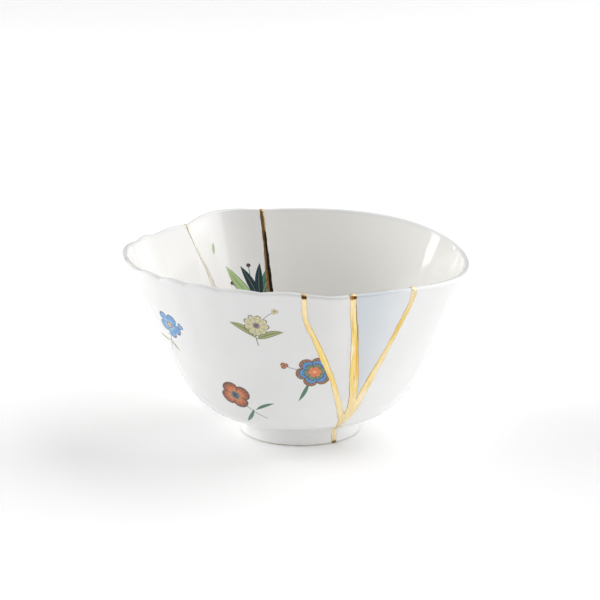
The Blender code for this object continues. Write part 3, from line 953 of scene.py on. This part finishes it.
def wall_rings(flat, tip, seam):
    """Rings round the gold on the wall, from its lower end up the inside, over the lip and down the outside.

    A ring's point lies across * (-sin lean, cos lean) from the break's middle in section length and arc,
    where tan lean = radius * d(azimuth)/d(length), and is lifted along the section's normal.
    """
    radius, height, distance = section(tip, GOLD_SPACING)
    kept = distance > FLOOR_RADIUS - 0.000001
    radius, height, distance = radius[kept], height[kept], distance[kept]
    steps = np.hypot(np.diff(radius), np.diff(height))
    length = np.concatenate([[0], np.cumsum(steps)])
    facing = math.atan2(flat[-1, 1], flat[-1, 0])
    azimuth, there = edge_angle(flat[:, :2], np.zeros((len(distance), 2)), distance, facing)
    width = np.interp(distance, np.hypot(flat[:, 0], flat[:, 1]), flat[:, 2])
    slope = np.pad(radius * np.gradient(azimuth, length), 3, "edge")
    lean = np.arctan(np.convolve(slope, np.ones(7) / 7, "valid"))
    across_here = brushed_across(length, width, seam)
    moved = length[:, None] - across_here * np.sin(lean)[:, None]
    azimuth = azimuth[:, None] + across_here * (np.cos(lean) / radius)[:, None]
    normal_r, normal_z = -np.gradient(height, length), np.gradient(radius, length)
    size = np.hypot(normal_r, normal_z)
    ring_r = np.interp(moved, length, radius) + RING_LIFT * np.interp(moved, length, normal_r / size)
    ring_z = np.interp(moved, length, height) + RING_LIFT * np.interp(moved, length, normal_z / size)
    past_crest = (length - length[distance.argmax() + LIP_STEPS // 2])[:, None]
    place = np.stack([RING_ACROSS + 0 * moved, past_crest + 0 * moved, seam + 0 * moved], -1)
    return shaped(ring_r, ring_z, azimuth), place


def floor_rings(flat, level, upward, past_crest):
    """Rings round the gold where the break crosses the floor, at the level of one face of the floor."""
    step = np.gradient(flat[:, :2], axis=0)
    step = step / np.linalg.norm(step, axis=1)[:, None]
    left = np.stack([-step[:, 1], step[:, 0]], 1)
    length = np.hypot(flat[:, 0], flat[:, 1])
    across_here = brushed_across(length, flat[:, 2], FRONT_LEFT)
    points = flat[:, None, :2] + across_here[:, :, None] * left[:, None] + FOOT_CENTRE[:2]
    heights = level + upward * RING_LIFT + 0 * across_here
    place = np.stack([RING_ACROSS + 0 * across_here, past_crest + 0 * across_here, 0 * across_here], -1)
    return np.concatenate([points, heights[:, :, None]], -1), place


def gold_mesh(name, strands):
    """One mesh of closed strands, each a row of rings that is either a loop or has both its ends closed."""
    all_points, all_places, faces, used = [], [], [], 0
    for rings, places, looped in strands:
        count, around = rings.shape[:2]
        index = used + np.arange(count * around).reshape(count, around)
        following = np.roll(index, -1, axis=0)
        quads = np.stack([index, np.roll(index, -1, 1), np.roll(following, -1, 1), following], -1)
        faces += quads[:count if looped else count - 1].reshape(-1, 4).tolist()
        if not looped:
            faces += [index[0, ::-1].tolist(), index[-1].tolist()]
        all_points.append(rings.reshape(-1, 3))
        all_places.append(places.reshape(-1, 3))
        used += count * around
    points = np.clip(np.concatenate(all_points), BOX_LOW + (0, 0, OFF_TABLE), BOX_HIGH)
    return closed_piece(name, points, np.concatenate(all_places), faces, merged=False)


floor_path = long_flat[::-1]
floor_path = floor_path[np.hypot(floor_path[:, 0], floor_path[:, 1]) < FLOOR_RADIUS]
floor_level = UNDERSIDE_HEIGHT + FLOOR_THICKNESS
floor_top, floor_top_place = floor_rings(floor_path, floor_level, 1, -FLOOR_PAST_CREST)
floor_under, floor_under_place = floor_rings(floor_path, UNDERSIDE_HEIGHT, -1, FLOOR_PAST_CREST)
front_rings, front_place = wall_rings(front_half, 0, FRONT_LEFT)
back_rings, back_place = wall_rings(back_half, 0, BACK)
# On the way back the rings run from the other side, so their points are taken in the opposite order
opposite = np.concatenate([np.arange(10, -1, -1), [12, 11]])
long_rings = [floor_top, front_rings, floor_under[::-1], back_rings[::-1][:, opposite]]
long_places = [floor_top_place, front_place, floor_under_place[::-1], back_place[::-1][:, opposite]]
strands = [(np.concatenate(long_rings), np.concatenate(long_places), True)]
for seam, path in ((MIDDLE, MIDDLE_BREAK), (RIGHT, RIGHT_BREAK), (BACK_LEFT, BACK_LEFT_BREAK)):
    flat = outwards(path)
    rings, places = wall_rings(flat, np.linalg.norm(flat[0, :2]), seam)
    strands.append((rings, places, False))
gold = gold_mesh("gold_lines", strands)


GOLD_STREAKS = (
    (0.30, (0.68, 0.46, 0.13)),
    (0.44, (0.84, 0.63, 0.21)),
    (0.58, (0.90, 0.70, 0.28)),
    (0.72, (0.92, 0.79, 0.50)),
)
PALE_GOLD = (0.95, 0.84, 0.64)
DEEP_GOLD = (0.86, 0.58, 0.12)
PAINTED_HIGHLIGHT_GOLD = (0.95, 0.83, 0.60)
WORN_EDGE = (0.34, 0.18, 0.06)
BROWN_LINE = (0.30, 0.13, 0.03)
ORANGE_BAND = (0.78, 0.40, 0.05)
COPPER = (0.62, 0.33, 0.13)
BARE_LACQUER = (0.020, 0.010, 0.006)
PAINTED_REFLECTION_WHITE = (0.97, 0.93, 0.86)
PAINTED_ORANGE_HIGHLIGHT = (0.72, 0.32, 0.05)
PAINTED_DARK_REFLECTION = (0.06, 0.025, 0.006)
BROWN_FOOT = (0.20, 0.10, 0.03)


def brushed_gold(name):
    """Powdered gold over lacquer: brush streaks, thin brown edges, dark lacquer where it is worn off, and
    painted highlights and painted reflections.
    """
    finish = bpy.data.materials.new(name)
    finish.use_nodes = True
    tree = finish.node_tree
    shader = tree.nodes["Principled BSDF"]
    across, past_crest, seam = place_parts(tree)

    def product(first, *others):
        """All the values multiplied together."""
        for other in others:
            first = number(tree, "MULTIPLY", first, other)
        return first

    def on_seam(which):
        """1 on the seam with that number and 0 on the others."""
        return number(tree, "COMPARE", seam, float(which), 0.2)

    def stretch(rise_from, rise_to, fall_from, fall_to):
        """1 on a stretch of section length past the lip's crest, with a soft start and end."""
        falling = fade(tree, past_crest, fall_from, fall_to, 1, 0)
        return product(fade(tree, past_crest, rise_from, rise_to), falling)

    def off_line(line):
        """The distance from a line along the gold, as a share of half its width."""
        return number(tree, "ABSOLUTE", number(tree, "SUBTRACT", across, line))

    def brushed(across_scale, along_scale, detail):
        """Noise drawn out along the gold."""
        stroke = tree.nodes.new("ShaderNodeCombineXYZ")
        tree.links.new(product(across, across_scale), stroke.inputs["X"])
        tree.links.new(product(past_crest, along_scale), stroke.inputs["Y"])
        tree.links.new(product(seam, 7.3), stroke.inputs["Z"])
        return noise(tree, stroke.outputs["Vector"], 1.0, detail)

    streaks = brushed(3.5, 75.0, 4.0)
    patches = brushed(0.8, 60.0, 1.0)
    colour = colour_stops(tree, streaks, GOLD_STREAKS)
    colour = paint_over(tree, colour, PALE_GOLD, fade(tree, patches, 0.50, 0.66, 0, 0.7))
    colour = paint_over(tree, colour, DEEP_GOLD, fade(tree, patches, 0.34, 0.46, 0.55, 0))
    # Painted highlight: the front seams are painted paler just below the lip and low on the outer wall
    near_rim = fade(tree, past_crest, 0.010, 0.024, 0.5, 0)
    painted_highlight_share = number(tree, "ADD", near_rim, fade(tree, past_crest, 0.060, 0.072, 0, 0.5))
    in_front = number(tree, "LESS_THAN", seam, RIGHT + 0.5)
    colour = paint_over(tree, colour, PAINTED_HIGHLIGHT_GOLD, product(painted_highlight_share, in_front))
    edge = number(tree, "ABSOLUTE", across)
    worn = fade(tree, number(tree, "ADD", edge, product(streaks, 0.3)), 0.94, 1.10)
    colour = paint_over(tree, colour, WORN_EDGE, worn)

    # The middle seam has a brown line along its right edge near the rim, and below that a broad orange band
    line = off_line(fade(tree, past_crest, 0.005, 0.030, 0.86, 0.60))
    upper = product(stretch(0.004, 0.008, 0.027, 0.034), on_seam(MIDDLE))
    colour = paint_over(tree, colour, BROWN_LINE, product(fade(tree, line, 0.05, 0.17, 1, 0), upper))
    lower = product(stretch(0.025, 0.034, 0.052, 0.062), on_seam(MIDDLE))
    band = product(fade(tree, off_line(0.5), 0.1, 0.45, 0.7, 0), lower)
    colour = paint_over(tree, colour, ORANGE_BAND, band)

    # The long seam's back half shows dark lacquer on the inner wall, all but a strip along its left edge
    copper = product(stretch(-0.105, -0.075, -0.0015, 0.0005), on_seam(BACK))
    colour = paint_over(tree, colour, COPPER, product(copper, 0.75))
    bare = product(stretch(-0.105, -0.075, -0.0160, -0.0095), on_seam(BACK))
    bare = product(bare, fade(tree, across, 0.0, 0.3, 1, 0))
    colour = paint_over(tree, colour, BARE_LACQUER, bare)

    # The left back seam is painted pale inside, a painted white reflection, with brown outlines, and golden
    # only at the rim
    painted_reflection = product(fade(tree, past_crest, -0.0060, -0.0020, 1, 0), on_seam(BACK_LEFT))
    colour = paint_over(tree, colour, PAINTED_REFLECTION_WHITE, product(painted_reflection, fade(tree, edge, 0.7, 0.9, 1, 0)))

    # A painted dark reflection, with a painted orange highlight above it, ends the first two seams at the
    # outer edge of the lip
    first_two = number(tree, "LESS_THAN", seam, MIDDLE + 0.5)
    painted_highlight = product(stretch(0.0005, 0.0010, 0.0024, 0.0030), first_two)
    colour = paint_over(tree, colour, PAINTED_ORANGE_HIGHLIGHT, painted_highlight)
    one_sided = number(tree, "MAXIMUM", on_seam(FRONT_LEFT), fade(tree, across, -0.3, 0.2, 0.3, 1))
    painted_dark_reflection = product(stretch(0.0010, 0.0014, 0.0022, 0.0027), first_two)
    painted_dark_reflection = product(painted_dark_reflection, fade(tree, edge, 0.75, 1.0, 1, 0.3), one_sided)
    colour = paint_over(tree, colour, PAINTED_DARK_REFLECTION, painted_dark_reflection)

    # The foot's gold is brown where it meets the table
    height = tree.nodes.new("ShaderNodeSeparateXYZ")
    tree.links.new(tree.nodes.new("ShaderNodeTexCoord").outputs["Object"], height.inputs["Vector"])
    colour = paint_over(tree, colour, BROWN_FOOT, fade(tree, height.outputs["Z"], 0.0008, 0.0022, 1, 0))
    tree.links.new(colour, shader.inputs["Base Color"])
    on_lip = stretch(-0.003, -0.001, 0.002, 0.004)
    dull = number(tree, "MAXIMUM", number(tree, "MAXIMUM", painted_dark_reflection, bare), on_lip)
    tree.links.new(number(tree, "SUBTRACT", 1.0, product(dull, 0.55)), shader.inputs["Metallic"])
    tree.links.new(fade(tree, streaks, 0.3, 0.7, 0.36, 0.22), shader.inputs["Roughness"])
    relief = tree.nodes.new("ShaderNodeBump")
    relief.inputs["Strength"].default_value = 0.25
    relief.inputs["Distance"].default_value = 0.0003
    tree.links.new(streaks, relief.inputs["Height"])
    tree.links.new(relief.outputs["Normal"], shader.inputs["Normal"])
    return finish


gold.data.materials.append(brushed_gold("brushed_gold"))
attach(gold, "root")
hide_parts("gold_seams")
